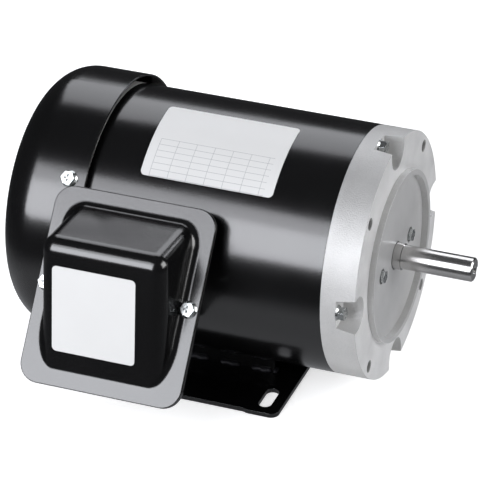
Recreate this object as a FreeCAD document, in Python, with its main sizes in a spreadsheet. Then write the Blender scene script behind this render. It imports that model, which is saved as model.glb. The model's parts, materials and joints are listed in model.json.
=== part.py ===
"""A foot-mounted, C-face, fan-cooled three-phase electric motor, as separate named pieces.

Millimetres. The origin is on the shaft axis in the plane of the machined C-face. +X runs
out along the shaft, +Z is up and the terminal box is on the -Y side. Stations along the
shaft are given as distances behind the face, so their x is negative.
"""
import FreeCAD, Part
import os
import re
import Sketcher

SIZES = {
    # Shaft line and its output end
    "foot_drop": 7.4,
    "axis_height": "shell_radius + foot_drop",
    "shaft_radius": 7.9375,
    "shaft_reach": 52.4,
    "shaft_chamfer": 0.8,
    "collar_radius": 8.73,
    "collar_reach": 4.8,
    "keyway_width": 4.76,
    "keyway_floor": 5.19,
    "keyway_length": 35.8,
    "keyway_angle": -33,
    "centre_drill_radius": 2.6,
    "centre_drill_depth": 4.5,
    "rotor_seat_radius": 13,
    "rear_shaft_radius": 11,
    "fan_seat_radius": 7,
    "tail_reach": 50.5,
    "shaft_tail": "shell_rear + tail_reach",
    # Shell
    "shell_radius": 81.5,
    "shell_wall": 1.5,
    "shell_front": 23,
    "shell_rear": 188,
    "spigot_gap": 0.05,
    "spigot_length": 6,
    "spigot_wall": 6,
    # Drive end shield
    "recess_depth": 0.3,
    "rabbet_radius": 57.15,
    "rabbet_wall": 3.85,
    "rabbet_height": 4.06,
    "face_bolt_circle": 149.225,
    "face_bolt_drill": 3.97,
    "face_bolt_depth": 16,
    "face_bolt_countersink": 0.2,
    "rim_inner_radius": 61,
    "web_depth": 11,
    "drive_boss_wall": 9.5,
    "drive_boss_radius": "drive_bearing_outer + drive_boss_wall",
    "seal_hole_radius": 9.3,
    "seal_lip": 3,
    "seal_room_radius": 14,
    "pocket_depth": 12.5,
    "pocket_inset": 5.1,
    "pocket_centre": "shell_radius - pocket_inset",
    "pocket_back_half": 9.7,
    "pocket_face_half": 12,
    # Rear end shield
    "rear_rim": 14,
    "rear_rim_lip": 3,
    "rear_web": 6,
    "rear_boss_wall": 7,
    "rear_boss_radius": "rear_bearing_outer + rear_boss_wall",
    "rear_hole_radius": 9,
    "lug_half_width": 7,
    "lug_angle": 21,
    "lug_front_inset": 2,
    "lug_rear_reach": 2,
    # Bearings: 6204 at the drive end, 6203 at the rear
    "drive_bearing_front": 9.5,
    "drive_bearing_bore": 10,
    "drive_bearing_outer": 23.5,
    "drive_bearing_width": 14,
    "drive_bearing_pitch": 16.75,
    "drive_bearing_ball": 3.97,
    "drive_bearing_inner_land": 14.0,
    "drive_bearing_outer_land": 19.5,
    "rear_bearing_inset": 10,
    "rear_bearing_front": "shell_rear - rear_bearing_inset",
    "rear_bearing_bore": 8.5,
    "rear_bearing_outer": 20,
    "rear_bearing_width": 12,
    "rear_bearing_pitch": 14.25,
    "rear_bearing_ball": 3.37,
    "rear_bearing_inner_land": 11.9,
    "rear_bearing_outer_land": 16.6,
    "race_gap": 0.15,
    "cage_wall": 1.4,
    "cage_side": 1.3,
    "bearing_shield_wall": 0.4,
    "bearing_shield_gap": 0.3,
    "spring_room": 2,
    "spring_wall": 0.6,
    "spring_inner_radius": 14.5,
    # Bearing retainer and slinger
    "retainer_thickness": 3,
    "retainer_inner_radius": 16.5,
    "retainer_reach": 8.5,
    "retainer_outer_radius": "drive_bearing_outer + retainer_reach",
    "retainer_screw_gap": 4.2,
    "retainer_screw_circle": "drive_bearing_outer + retainer_screw_gap",
    "slinger_radius": 12.6,
    "slinger_front": 4.1,
    "slinger_rear": 8.3,
    # Stator and rotor
    "core_front": 58,
    "core_length": 74,
    "air_gap": 0.4,
    "rotor_radius": 44,
    "slot_half_width": 2.3,
    "core_yoke": 14,
    "slot_outer_radius": "shell_radius - shell_wall - core_yoke",
    "liner_gap": 0.15,
    "winding_gap": 4,
    "winding_inner_radius": "rotor_radius + winding_gap",
    "winding_overhang": 5,
    "winding_outer_radius": "slot_outer_radius + winding_overhang",
    "end_turn_length": 15,
    "end_turn_rounding": 5,
    "bolt_notch_half": 3.2,
    "bar_radius": 2.6,
    "bar_inset": 4.1,
    "bar_circle": "rotor_radius - bar_inset",
    "end_ring_inner_radius": 28,
    "end_ring_margin": 0.6,
    "end_ring_length": 8,
    "fin_length": 6,
    "fin_half_width": 1.3,
    # Cooling fan and its cover
    "fan_side_gap": 13.8,
    "fan_radius": "cover_radius - fan_side_gap",
    "fan_hub_radius": 13,
    "fan_reach": 19,
    "fan_front": "shell_rear + fan_reach",
    "fan_disc": 2.5,
    "fan_length": 29,
    "fan_blade_half": 1.2,
    "fan_clip_radius": 10,
    "fan_clip_width": 1.2,
    "fan_clip_groove": 0.8,
    "cover_step": 6.3,
    "cover_radius": "shell_radius + cover_step",
    "cover_wall": 1.2,
    "cover_overlap": 2,
    "cover_front": "shell_rear - cover_overlap",
    "cover_reach": 56.7,
    "cover_rear": "shell_rear + cover_reach",
    "cover_rounding": 25,
    "grille_first": 16,
    "grille_slot": 5.5,
    "grille_pitch": 8,
    "grille_spoke_half": 2.6,
    # Base
    "base_thickness": 3,
    "base_front": 53.5,
    "base_rear": 154,
    "base_half_width": 78.4,
    "foot_pad_step": 1,
    "foot_pad_length": 25,
    "base_corner": 5.5,
    "foot_front": 65,
    "foot_spacing": 76.2,
    "feet_across": 123.83,
    "foot_slot_width": 8.73,
    "foot_slot_length": 22,
    "rail_offset": 31,
    "rail_thickness": 3,
    "rail_front": 72,
    "rail_rear": 134,
    # Terminal box, split on its diagonal
    "box_centre": 146,
    "box_gap": 1.7,
    "box_back": "shell_radius + box_gap",
    "box_depth": 63.2,
    "box_floor": 36.5,
    "box_height": 84.2,
    "box_wall": 1.5,
    "box_cover_width": 84,
    "box_cover_depth": 53.6,
    "box_cover_rise": 4.2,
    "box_cover_rounding": 9.5,
    "box_cover_foot": 5.5,
    "box_flange_edge": 0.6,
    "box_base_width": 79,
    "box_base_rounding": 5,
    "box_flange_ends": 10.9,
    "box_flange_sides": 12.7,
    "box_flange_corner": 13,
    "box_gasket": 1.2,
    "conduit_hole_radius": 11.1,
    "conduit_hole_out": 29,
    "lead_hole_radius": 9.5,
    "lead_hole_behind": 154,
    "lead_hole_height": 24,
    "grommet_wall": 2,
    "grommet_lip": 2.5,
    "lead_bundle_radius": 5.5,
    "lead_gap": 1,
    "lead_bundle_inner": "winding_outer_radius + lead_gap",
    "lead_reach": 20.8,
    "lead_bundle_outer": "box_back + lead_reach",
    "saddle_half_length": 33,
    "saddle_half_height": 33,
    "box_screw_across": 52,
    "board_length": 62,
    "board_height": 26,
    "board_thickness": 7,
    "board_centre_height": -10,
    "stud_radius": 2,
    "stud_reach": 14,
    "stud_pitch": 22,
    "nut_flats": 7,
    "nut_thickness": 3.2,
    # Blank labels
    "label_thickness": 0.25,
    "nameplate_front": 64.3,
    "nameplate_rear": 153.8,
    "nameplate_across": 57.4,
    "nameplate_angle": 112,
    "label_corner": 3,
    "cover_label_width": 56,
    "cover_label_height": 59,
    "cover_label_drop": 46.2,
    "cover_label_offset": 4.7,
    # Screws: radius, length under the head, head across flats, head height and washer radius
    "washer_thickness": 1.2,
    "washer_slope": 1.1,
    "screw_hole_gap": 0.3,
    "recess_half_width": 0.6,
    "recess_reach": 2.3,
    "recess_sink": 1.8,
    "through_bolt_inset": 3.8,
    "through_bolt_circle": "shell_radius - through_bolt_inset",
    "through_bolt_radius": 2.2,
    "through_bolt_reach": 11,
    "through_bolt_end": "shell_rear + through_bolt_reach",
    "through_bolt_flats": 8,
    "through_bolt_head": 4,
    "through_bolt_washer": 5.2,
    "retainer_screw_radius": 2.2,
    "retainer_screw_flats": 7.5,
    "retainer_screw_head": 2.6,
    "retainer_screw_washer": 4.8,
    "retainer_screw_sink": 1.8,
    "fan_cover_screw_radius": 2.4,
    "fan_cover_screw_length": 10,
    "fan_cover_screw_flats": 8,
    "fan_cover_screw_head": 2.8,
    "fan_cover_screw_washer": 5.5,
    "cover_screw_reach": 9,
    "fan_cover_screw_station": "shell_rear + cover_screw_reach",
    "box_cover_screw_radius": 2.4,
    "box_cover_screw_length": 9,
    "box_cover_screw_flats": 8,
    "box_cover_screw_head": 2.8,
    "box_cover_screw_washer": 5.5,
    "box_screw_radius": 2.4,
    "box_screw_length": 6,
    "box_screw_flats": 8,
    "box_screw_head": 3,
    "box_screw_washer": 5.5,
}

COUNTS = {"through": 4, "face": 4, "lug": 3, "stator_slots": 36, "bars": 34, "balls": 8,
         "fins": 8, "blades": 9, "grille_rings": 6, "spokes": 4}

V = FreeCAD.Vector
ALONG_X = FreeCAD.Rotation(V(0, 1, 0), 90)
ABOUT_X = V(1, 0, 0)
UNTURNED = FreeCAD.Rotation()

doc = FreeCAD.newDocument("ElectricMotor")
sheet = doc.addObject("Spreadsheet::Sheet", "Sizes")
for row, alias in enumerate(SIZES, start=1):
    sheet.set(f"A{row}", alias)
    sheet.setAlias(f"B{row}", alias)
for row, size in enumerate(SIZES.values(), start=1):
    sheet.set(f"B{row}", f"={size}" if isinstance(size, str) else str(size))
doc.recompute()

pieces = []


# ---------------------------------------------------------------- expressions

def bound(text):
    """The expression with each size name written as a cell of the sheet."""
    return re.sub(r"[a-z_]{3,}", lambda word: "Sizes." + word[0] if word[0] in SIZES else word[0],
                  text)


def number(text):
    """The value that an expression has now."""
    result = sheet.evalExpression(bound(text))
    return float(getattr(result, "Value", result))


def bind(item, links):
    """Ties properties of an object to the sheet."""
    for path, text in links.items():
        item.setExpression(path, bound(text))
    return item


def at(x="0", y="0", z="0"):
    """Links for the three coordinates of a placement."""
    return {"Placement.Base.x": x, "Placement.Base.y": y, "Placement.Base.z": z}


def spot(angle, radius):
    """The y and z of a point at an angle from +Y and a radius from the shaft axis."""
    return f"({radius}) * cos({angle})", f"({radius}) * sin({angle})"


def turns(count, first=0.0):
    """Equally spaced angles round the shaft axis."""
    return [first + 360.0 * step / count for step in range(count)]


# ---------------------------------------------------------------- solids and booleans

def piece(item, label):
    """Names a finished sub-part and keeps it for export."""
    item.Label = label
    pieces.append(item)
    return item


def rod(name, radius, rear, front, y="0", z="0"):
    """A cylinder along the shaft line, from x = rear to x = front."""
    item = doc.addObject("Part::Cylinder", name)
    item.Placement = FreeCAD.Placement(V(), ALONG_X)
    return bind(item, {"Radius": radius, "Height": f"({front}) - ({rear})", **at(rear, y, z)})


def cone(name, rear_radius, front_radius, rear, front, y="0", z="0"):
    """A cone along the shaft line."""
    item = doc.addObject("Part::Cone", name)
    item.Placement = FreeCAD.Placement(V(), ALONG_X)
    return bind(item, {"Radius1": rear_radius, "Radius2": front_radius,
                       "Height": f"({front}) - ({rear})", **at(rear, y, z)})


def block(name, xs, ys, zs):
    """A box between two values on each axis."""
    item = doc.addObject("Part::Box", name)
    links = {"Length": f"({xs[1]}) - ({xs[0]})", "Width": f"({ys[1]}) - ({ys[0]})",
             "Height": f"({zs[1]}) - ({zs[0]})"}
    return bind(item, {**links, **at(xs[0], ys[0], zs[0])})


def radial_rotation(angle):
    """Turns local +Z to the radial direction at an angle from +Y."""
    return FreeCAD.Rotation(ABOUT_X, angle - 90)


def radial_rod(name, radius, inner, outer, x, angle):
    """A cylinder that points away from the shaft axis."""
    item = doc.addObject("Part::Cylinder", name)
    item.Placement = FreeCAD.Placement(V(), radial_rotation(angle))
    return bind(item, {"Radius": radius, "Height": f"({outer}) - ({inner})",
                       **at(x, *spot(angle, inner))})


def radial_block(name, xs, half, inner, outer, angle):
    """A box that points away from the shaft axis, centred on a radius."""
    item = doc.addObject("Part::Box", name)
    item.Placement = FreeCAD.Placement(V(), radial_rotation(angle))
    y = f"-({half}) * cos({angle} - 90) - ({inner}) * sin({angle} - 90)"
    z = f"-({half}) * sin({angle} - 90) + ({inner}) * cos({angle} - 90)"
    return bind(item, {"Length": f"({xs[1]}) - ({xs[0]})", "Width": f"2 * ({half})",
                       "Height": f"({outer}) - ({inner})", **at(xs[0], y, z)})


def fuse(name, items):
    """One solid from several that touch or overlap."""
    item = doc.addObject("Part::MultiFuse", name)
    item.Shapes = items
    item.Refine = True
    return item


def group(name, items):
    """Separate solids in one sub-part."""
    item = doc.addObject("Part::Compound", name)
    item.Links = items
    return item


def cut(name, base, tools):
    """A solid with one or more tools taken out of it."""
    item = doc.addObject("Part::Cut", name)
    item.Base = base
    item.Tool = tools[0] if len(tools) == 1 else fuse(name + "_tools", tools)
    item.Refine = True
    return item


def common(name, first, second):
    """What two solids share."""
    item = doc.addObject("Part::Common", name)
    item.Base = first
    item.Tool = second
    return item


def tube(name, outer, inner, rear, front):
    """A ring along the shaft line."""
    return cut(name, rod(name + "_outside", outer, rear, front),
               [rod(name + "_inside", inner, f"({rear}) - 1", f"({front}) + 1")])


def rounded_plate(name, length, width, low, high, corner):
    """A plate with round corners, centred on the local origin, from z = low to z = high."""
    half_length = f"({length}) / 2"
    half_width = f"({width}) / 2"
    near_length = f"({half_length} - ({corner}))"
    near_width = f"({half_width} - ({corner}))"
    parts = [block(name + "_long", (f"-{half_length}", half_length),
                   (f"-{near_width}", near_width), (low, high)),
             block(name + "_wide", (f"-{near_length}", near_length),
                   (f"-{half_width}", half_width), (low, high))]
    for turn, (side, end) in enumerate(((1, 1), (1, -1), (-1, 1), (-1, -1))):
        post = doc.addObject("Part::Cylinder", f"{name}_corner_{turn}")
        bind(post, {"Radius": corner, "Height": f"({high}) - ({low})",
                    **at(f"{side} * {near_length}", f"{end} * {near_width}", low)})
        parts.append(post)
    return fuse(name, parts)


# ---------------------------------------------------------------- sketched bodies

def origin_plane(body, role):
    """One of a body's own origin planes."""
    return next(item for item in body.Origin.OriginFeatures if item.Role == role)


def new_sketch(body, name, role):
    """An empty sketch on one of a body's origin planes."""
    sketch = body.newObject("Sketcher::SketchObject", name)
    sketch.AttachmentSupport = [(origin_plane(body, role), "")]
    sketch.MapMode = "FlatFace"
    return sketch


def outline(sketch, corners):
    """A closed outline of straight edges, each corner held by its two distances."""
    points = [V(number(across), number(up), 0) for across, up in corners]
    count = len(points)
    first = sketch.GeometryCount
    for index in range(count):
        edge = Part.LineSegment(points[index], points[(index + 1) % count])
        sketch.addGeometry(edge, False)
    for index in range(count):
        following = first + (index + 1) % count
        sketch.addConstraint(Sketcher.Constraint("Coincident", first + index, 2, following, 1))
    for index, (across, up) in enumerate(corners):
        for kind, text, value in (("DistanceX", across, points[index].x),
                                  ("DistanceY", up, points[index].y)):
            rule = Sketcher.Constraint(kind, -1, 1, first + index, 1, value)
            held = sketch.addConstraint(rule)
            sketch.setExpression(f"Constraints[{held}]", bound(text))


def circle(sketch, radius, across="0", up="0"):
    """A circle held by its centre and radius."""
    middle = V(number(across), number(up), 0)
    ring = sketch.addGeometry(Part.Circle(middle, V(0, 0, 1), number(radius)), False)
    rules = [("DistanceX", (-1, 1, ring, 3, middle.x), across),
             ("DistanceY", (-1, 1, ring, 3, middle.y), up),
             ("Radius", (ring, number(radius)), radius)]
    for kind, terms, text in rules:
        held = sketch.addConstraint(Sketcher.Constraint(kind, *terms))
        sketch.setExpression(f"Constraints[{held}]", bound(text))


def turned(name, corners):
    """A body turned about the shaft axis from an outline of (x, radius) corners."""
    body = doc.addObject("PartDesign::Body", name)
    add_turned(body, name, corners)
    return body


def add_turned(body, name, corners):
    """Adds a turned ring or disc to a body."""
    sketch = new_sketch(body, name + "_outline", "XZ_Plane")
    outline(sketch, corners)
    turning = body.newObject("PartDesign::Revolution", name + "_turning")
    turning.Profile = sketch
    turning.ReferenceAxis = (sketch, ["H_Axis"])
    turning.Angle = 360
    return turning


def add_pad(body, name, sketch, length):
    """Pads a sketch on the YZ plane towards +X."""
    pad = body.newObject("PartDesign::Pad", name)
    pad.Profile = sketch
    bind(pad, {"Length": length})
    return pad


def add_polar(body, name, feature, count):
    """Repeats a feature round the shaft axis."""
    pattern = body.newObject("PartDesign::PolarPattern", name)
    pattern.Originals = [feature]
    axis = next(item for item in body.Origin.OriginFeatures if item.Role == "X_Axis")
    pattern.Axis = (axis, [""])
    pattern.Angle = 360
    pattern.Occurrences = count
    body.Tip = pattern
    return pattern


def add_pocket(body, name, sketch, length):
    """Cuts a sketch on the YZ plane out of the body towards +X."""
    pocket = body.newObject("PartDesign::Pocket", name)
    pocket.Profile = sketch
    pocket.Reversed = True
    bind(pocket, {"Length": length})
    return pocket


def round_edges(body, name, radius, wanted):
    """Fillets the edges of the body's last feature that the test picks."""
    doc.recompute()
    base = body.Tip
    names = [f"Edge{index}" for index, edge in enumerate(base.Shape.Edges, start=1) if wanted(edge)]
    fillet = body.newObject("PartDesign::Fillet", name)
    fillet.Base = (base, names)
    bind(fillet, {"Radius": radius})
    return fillet


# ---------------------------------------------------------------- screws

def screw(name, kind, length, x, y, z, rotation, crossed=False):
    """A hex washer head screw: its seat is at the local origin and its head on local +Z."""
    washer = doc.addObject("Part::Cone", name + "_washer")
    bind(washer, {"Radius1": f"{kind}_washer", "Radius2": f"{kind}_washer - washer_slope",
                  "Height": "washer_thickness"})
    head = doc.addObject("Part::Prism", name + "_head")
    head.Polygon = 6
    bind(head, {"Circumradius": f"{kind}_flats / 2 / cos(30)",
                "Height": f"{kind}_head + washer_thickness"})
    shank = doc.addObject("Part::Cylinder", name + "_shank")
    bind(shank, {"Radius": f"{kind}_radius", "Height": f"{length} + washer_thickness / 2",
                 **at(z=f"-({length})")})
    whole = fuse(name, [washer, head, shank])
    if crossed:
        top = f"({kind}_head + washer_thickness)"
        sink = (f"{top} - recess_sink", f"{top} + 1")
        wide = ("-recess_reach", "recess_reach")
        thin = ("-recess_half_width", "recess_half_width")
        slots = [block(name + "_slot_a", wide, thin, sink), block(name + "_slot_b", thin, wide, sink)]
        whole = cut(name + "_crossed", whole, slots)
    whole.Placement = FreeCAD.Placement(V(), rotation)
    return bind(whole, at(x, y, z))


# ---------------------------------------------------------------- places that pieces share

SHELL_INNER = "(shell_radius - shell_wall)"
SPIGOT_RADIUS = "(shell_radius - shell_wall - spigot_gap)"
DRIVE_BEARING_BACK = "(drive_bearing_front + drive_bearing_width)"
REAR_BEARING_BACK = "(rear_bearing_front + rear_bearing_width)"
REAR_POCKET_FLOOR = "(rear_bearing_front + rear_bearing_width + spring_room)"
REAR_RIM_BACK = "(shell_rear + rear_rim)"
REAR_WEB_BACK = "(shell_rear + rear_rim - rear_rim_lip)"
REAR_WEB_FRONT = "(shell_rear + rear_rim - rear_rim_lip - rear_web)"
CORE_BACK = "(core_front + core_length)"
STATOR_BORE = "(rotor_radius + air_gap)"
BOX_TILT = "atan(box_height / box_depth)"
BOX_DIAGONAL = "sqrt(box_height * box_height + box_depth * box_depth)"
BOX_MIDDLE_Y = "(-box_back - box_depth / 2)"
BOX_MIDDLE_Z = "(box_height / 2 - box_floor)"
FLANGE_LENGTH = f"({BOX_DIAGONAL} + 2 * box_flange_ends)"
FLANGE_WIDTH = "(box_cover_width + 2 * box_flange_sides)"
FLANGE_SCREW_REACH = "{side} * (box_cover_width + box_flange_sides) / 2"
GASKET_FACE = "(-box_wall)"
BASE_FLANGE_FACE = "(-box_wall - box_gasket)"
COVER_TOP = "(box_height - box_floor + box_cover_rise)"
COVER_LEAN = "atan((box_depth - box_cover_depth) / (box_height + box_cover_rise))"
LABEL_RADIUS = "(shell_radius + label_thickness)"
GROMMET_RADIUS = "(lead_hole_radius - grommet_wall)"


# ---------------------------------------------------------------- sub-parts

def make_shell():
    """Rolled shell, with the hole that the leads come out of."""
    body = tube("shell_tube", "shell_radius", SHELL_INNER, "-shell_rear", "-shell_front")
    holes = [y_rod(f"shell_screw_hole_{index}", "box_screw_radius", x, "-shell_radius / 2",
                   "shell_radius / 2", z) for index, (x, z) in enumerate(box_screw_spots())]
    piece(cut("motor_shell", body, [lead_hole("shell_lead_hole")] + holes), "motor_shell")


def lead_hole(name):
    """The hole for the leads, from inside the shell to inside the terminal box."""
    hole = doc.addObject("Part::Cylinder", name)
    hole.Placement = FreeCAD.Placement(V(), FreeCAD.Rotation(ABOUT_X, 90))
    return bind(hole, {"Radius": "lead_hole_radius", "Height": "box_back + box_wall + 1 - 60",
                       **at("-lead_hole_behind", "-60", "lead_hole_height")})


def face_pocket(name, angle):
    """A drafted U-shaped pocket in the rim, open outwards and at the face."""
    y, z = spot(angle, "pocket_centre")
    bottom = cone(name + "_bottom", "pocket_back_half", "pocket_face_half",
                  "-pocket_depth", "0.01", y, z)
    sides = doc.addObject("Part::Wedge", name + "_sides")
    turn = FreeCAD.Rotation(ABOUT_X, angle - 90).multiply(FreeCAD.Rotation(V(0, 0, 1), -90))
    sides.Placement = FreeCAD.Placement(V(), turn)
    far = "shell_radius + 3"
    bind(sides, {"Xmin": "-pocket_back_half", "Xmax": "pocket_back_half",
                 "X2min": "-pocket_face_half", "X2max": "pocket_face_half",
                 "Ymin": "-pocket_depth", "Ymax": "0.01",
                 "Zmin": "pocket_centre", "Zmax": far, "Z2min": "pocket_centre", "Z2max": far})
    return [bottom, sides]


def make_drive_shield():
    """Cast drive end shield: face, rabbet, rim pockets, bolt holes and bearing housing."""
    web = "-web_depth"
    bearing_back = f"-{DRIVE_BEARING_BACK}"
    spigot_inner = f"({SPIGOT_RADIUS} - spigot_wall)"
    casting = turned("drive_shield_casting", [
        ("-recess_depth", "seal_hole_radius"),
        ("-recess_depth", "rabbet_radius - rabbet_wall"),
        ("rabbet_height", "rabbet_radius - rabbet_wall"),
        ("rabbet_height", "rabbet_radius"),
        ("0", "rabbet_radius"),
        ("0", "shell_radius"),
        ("-shell_front", "shell_radius"),
        ("-shell_front", SPIGOT_RADIUS),
        ("-shell_front - spigot_length", SPIGOT_RADIUS),
        ("-shell_front - spigot_length", spigot_inner),
        ("-shell_front", spigot_inner),
        ("-shell_front", "rim_inner_radius"),
        (web, "rim_inner_radius"),
        (web, "drive_boss_radius"),
        (bearing_back, "drive_boss_radius"),
        (bearing_back, "drive_bearing_outer"),
        ("-drive_bearing_front", "drive_bearing_outer"),
        ("-drive_bearing_front", "seal_room_radius"),
        ("-recess_depth - seal_lip", "seal_room_radius"),
        ("-recess_depth - seal_lip", "seal_hole_radius"),
    ])
    tools = []
    for index, angle in enumerate(turns(COUNTS["through"])):
        tools += face_pocket(f"face_pocket_{index}", angle)
        tools.append(rod(f"through_hole_{index}", "through_bolt_radius + screw_hole_gap",
                         "-shell_front - spigot_length - 1", "-pocket_depth + 1",
                         *spot(angle, "through_bolt_circle")))
    for index, angle in enumerate(turns(COUNTS["face"], 45)):
        y, z = spot(angle, "face_bolt_circle / 2")
        tools.append(rod(f"face_bolt_hole_{index}", "face_bolt_drill", "-face_bolt_depth", "1", y, z))
        tools.append(cone(f"face_bolt_lead_{index}", "face_bolt_drill",
                          "face_bolt_drill + face_bolt_countersink + 0.1",
                          "-face_bolt_countersink", "0.1", y, z))
    for index, angle in enumerate(turns(2)):
        y, z = spot(angle, "retainer_screw_circle")
        tools.append(rod(f"retainer_hole_{index}", "retainer_screw_radius + screw_hole_gap",
                         f"{bearing_back} - 1", "1", y, z))
        tools.append(rod(f"retainer_seat_{index}", "retainer_screw_washer + screw_hole_gap",
                         "-retainer_screw_sink", "1", y, z))
    piece(cut("drive_end_shield", casting, tools), "drive_end_shield")


def make_rear_shield():
    """Rear end shield: rim, web, bearing housing and the four lugs for the fan cover."""
    spigot_inner = f"({SPIGOT_RADIUS} - spigot_wall)"
    casting = turned("rear_shield_casting", [
        ("-rear_bearing_front", "rear_bearing_outer"),
        ("-rear_bearing_front", "rear_boss_radius"),
        (f"-{REAR_WEB_FRONT}", "rear_boss_radius"),
        (f"-{REAR_WEB_FRONT}", spigot_inner),
        ("-shell_rear + spigot_length", spigot_inner),
        ("-shell_rear + spigot_length", SPIGOT_RADIUS),
        ("-shell_rear", SPIGOT_RADIUS),
        ("-shell_rear", "shell_radius"),
        (f"-{REAR_RIM_BACK}", "shell_radius"),
        (f"-{REAR_RIM_BACK}", f"{spigot_inner} - 1"),
        (f"-{REAR_WEB_BACK}", f"{spigot_inner} - 1"),
        (f"-{REAR_WEB_BACK}", "rear_hole_radius"),
        (f"-{REAR_POCKET_FLOOR}", "rear_hole_radius"),
        (f"-{REAR_POCKET_FLOOR}", "rear_bearing_outer"),
    ])
    lug_span = (f"-{REAR_RIM_BACK} - lug_rear_reach", "-shell_rear - lug_front_inset")
    lugs = [radial_block(f"cover_lug_{index}", lug_span, "lug_half_width",
                         "shell_radius - 5", "cover_radius - cover_wall + 2", angle)
            for index, angle in enumerate(turns(COUNTS["lug"], SIZES["lug_angle"]))]
    inside_cover = rod("lug_limit", "cover_radius - cover_wall", "-cover_rear", "-cover_front")
    lug_parts = [common(f"trimmed_lug_{index}", lug, inside_cover)
                 for index, lug in enumerate(lugs)]
    tools = [rod(f"rear_tapped_hole_{index}", "through_bolt_radius", f"-{REAR_RIM_BACK} - 1",
                 "-shell_rear", *spot(angle, "through_bolt_circle"))
             for index, angle in enumerate(turns(COUNTS["through"]))]
    tools += [rod(f"rear_through_hole_{index}", "through_bolt_radius + screw_hole_gap",
                  "-shell_rear", "-shell_rear + spigot_length + 1",
                  *spot(angle, "through_bolt_circle"))
              for index, angle in enumerate(turns(COUNTS["through"]))]
    tools += [radial_rod(f"lug_hole_{index}", "fan_cover_screw_radius",
                         "cover_radius - fan_cover_screw_length - 1", "cover_radius",
                         "-fan_cover_screw_station", angle)
              for index, angle in enumerate(turns(COUNTS["lug"], SIZES["lug_angle"]))]
    whole = fuse("rear_shield_solid", [casting] + lug_parts)
    piece(cut("rear_end_shield", whole, tools), "rear_end_shield")


def make_bearing(side):
    """A shielded ball bearing as five pieces: two rings, balls, cage and shields."""
    size = f"{side}_bearing"
    front = f"-{size}_front"
    back = f"-({size}_front + {size}_width)"
    middle = f"-({size}_front + {size}_width / 2)"

    def groove(name):
        ring = doc.addObject("Part::Torus", name)
        ring.Placement = FreeCAD.Placement(V(), ALONG_X)
        return bind(ring, {"Radius1": f"{size}_pitch", "Radius2": f"{size}_ball + race_gap",
                           **at(middle)})

    def ball(index, angle, extra="0"):
        sphere = doc.addObject("Part::Sphere", index)
        return bind(sphere, {"Radius": f"{size}_ball + {extra}",
                             **at(middle, *spot(angle, f"{size}_pitch"))})

    outer = tube(f"{side}_outer_blank", f"{size}_outer", f"{size}_outer_land", back, front)
    piece(cut(f"{size}_outer_ring", outer, [groove(f"{side}_outer_groove")]),
          f"{size}_outer_ring")
    inner = tube(f"{side}_inner_blank", f"{size}_inner_land", f"{size}_bore", back, front)
    piece(cut(f"{size}_inner_ring", inner, [groove(f"{side}_inner_groove")]),
          f"{size}_inner_ring")
    angles = turns(COUNTS["balls"])
    balls = [ball(f"{side}_ball_{index}", angle) for index, angle in enumerate(angles)]
    piece(group(f"{size}_balls", balls), f"{size}_balls")
    reach = f"({size}_ball + cage_side)"
    band = tube(f"{side}_cage_band", f"{size}_pitch + cage_wall / 2",
                f"{size}_pitch - cage_wall / 2", f"{middle} - {reach}", f"{middle} + {reach}")
    holes = [ball(f"{side}_cage_hole_{index}", angle, "race_gap")
             for index, angle in enumerate(angles)]
    piece(cut(f"{size}_cage", band, holes), f"{size}_cage")
    shields = [tube(f"{side}_shield_{name}", f"{size}_outer_land",
                    f"{size}_inner_land + bearing_shield_gap", low, high)
               for name, low, high in (("front", f"{front} - bearing_shield_wall", front),
                                       ("back", back, f"{back} + bearing_shield_wall"))]
    piece(group(f"{size}_shields", shields), f"{size}_shields")


def make_bearing_trim():
    """Retainer, preload spring and slinger, which hold and seal the bearings."""
    back = f"(-{DRIVE_BEARING_BACK} - retainer_thickness)"
    plate = tube("retainer_plate", "retainer_outer_radius", "retainer_inner_radius",
                 back, f"-{DRIVE_BEARING_BACK}")
    holes = [rod(f"retainer_tapped_{index}", "retainer_screw_radius", f"{back} - 1",
                 f"-{DRIVE_BEARING_BACK} + 1", *spot(angle, "retainer_screw_circle"))
             for index, angle in enumerate(turns(2))]
    piece(cut("bearing_retainer", plate, holes), "bearing_retainer")
    rest = f"-{REAR_BEARING_BACK}"
    floor = f"-{REAR_POCKET_FLOOR}"
    spring = turned("preload_spring", [
        (f"{floor} + spring_wall", "spring_inner_radius"),
        (floor, "spring_inner_radius"),
        (f"{rest} - spring_wall", "rear_bearing_outer - 0.5"),
        (rest, "rear_bearing_outer - 0.5"),
    ])
    piece(spring, "preload_spring")
    piece(tube("shaft_slinger", "slinger_radius", "collar_radius", "-slinger_rear",
               "-slinger_front"), "shaft_slinger")


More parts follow.
